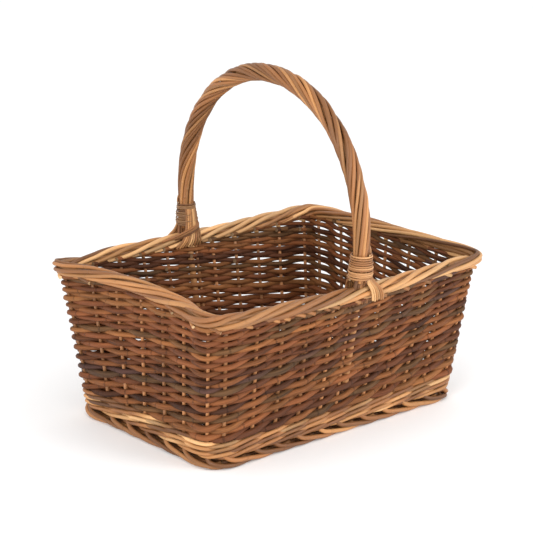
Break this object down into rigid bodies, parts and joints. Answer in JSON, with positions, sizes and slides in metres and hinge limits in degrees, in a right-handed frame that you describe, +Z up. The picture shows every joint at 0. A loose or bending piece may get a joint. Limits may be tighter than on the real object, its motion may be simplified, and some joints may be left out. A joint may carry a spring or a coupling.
{
  "type": "woven market basket",
  "caption": "Rectangular woven willow basket with leaning sides, a rolled rim, a raised foot and one fixed twisted-rod handle bound at both ends.",
  "frame": {"origin": "on the floor, under the middle of the basket", "axes": "+Z up; X along the basket; Y across it, in the plane of the handle"},
  "size_m": [0.4292, 0.3494, 0.422],
  "materials": {
    "foot_willow": "satin",
    "wale_willow": "satin",
    "bark_willow": "satin",
    "rim_willow": "satin",
    "stake_willow": "satin",
    "base_willow": "satin",
    "handle_willow": "satin",
    "split_willow": "satin"
  },
  "bodies": {
    "root": {"foot_border_front": "foot_willow", "wale_front": "wale_willow", "wall_front": "bark_willow", "rim_border_front": "rim_willow", "stake_front_01": "stake_willow", "stake_front_02": "stake_willow", "stake_front_03": "stake_willow", "stake_front_04": "stake_willow", "stake_front_05": "stake_willow", "stake_front_06": "stake_willow", "stake_front_07": "stake_willow", "stake_front_08": "stake_willow", "stake_front_09": "stake_willow", "stake_front_10": "stake_willow", "stake_front_11": "stake_willow", "foot_border_right": "foot_willow", "wale_right": "wale_willow", "wall_right": "bark_willow", "rim_border_right": "rim_willow", "stake_right_01": "stake_willow", "stake_right_02": "stake_willow", "stake_right_03": "stake_willow", "stake_right_04": "stake_willow", "stake_right_05": "stake_willow", "stake_right_06": "stake_willow", "stake_right_07": "stake_willow", "foot_border_back": "foot_willow", "wale_back": "wale_willow", "wall_back": "bark_willow", "rim_border_back": "rim_willow", "stake_back_01": "stake_willow", "stake_back_02": "stake_willow", "stake_back_03": "stake_willow", "stake_back_04": "stake_willow", "stake_back_05": "stake_willow", "stake_back_06": "stake_willow", "stake_back_07": "stake_willow", "stake_back_08": "stake_willow", "stake_back_09": "stake_willow", "stake_back_10": "stake_willow", "stake_back_11": "stake_willow", "foot_border_left": "foot_willow", "wale_left": "wale_willow", "wall_left": "bark_willow", "rim_border_left": "rim_willow", "stake_left_01": "stake_willow", "stake_left_02": "stake_willow", "stake_left_03": "stake_willow", "stake_left_04": "stake_willow", "stake_left_05": "stake_willow", "stake_left_06": "stake_willow", "stake_left_07": "stake_willow", "base_mat": "base_willow", "base_stick_01": "stake_willow", "base_stick_02": "stake_willow", "base_stick_03": "stake_willow", "handle_bow": "stake_willow", "handle_wrap": "handle_willow", "handle_binding_front": "split_willow", "handle_binding_back": "split_willow"}
  },
  "joints": []
}
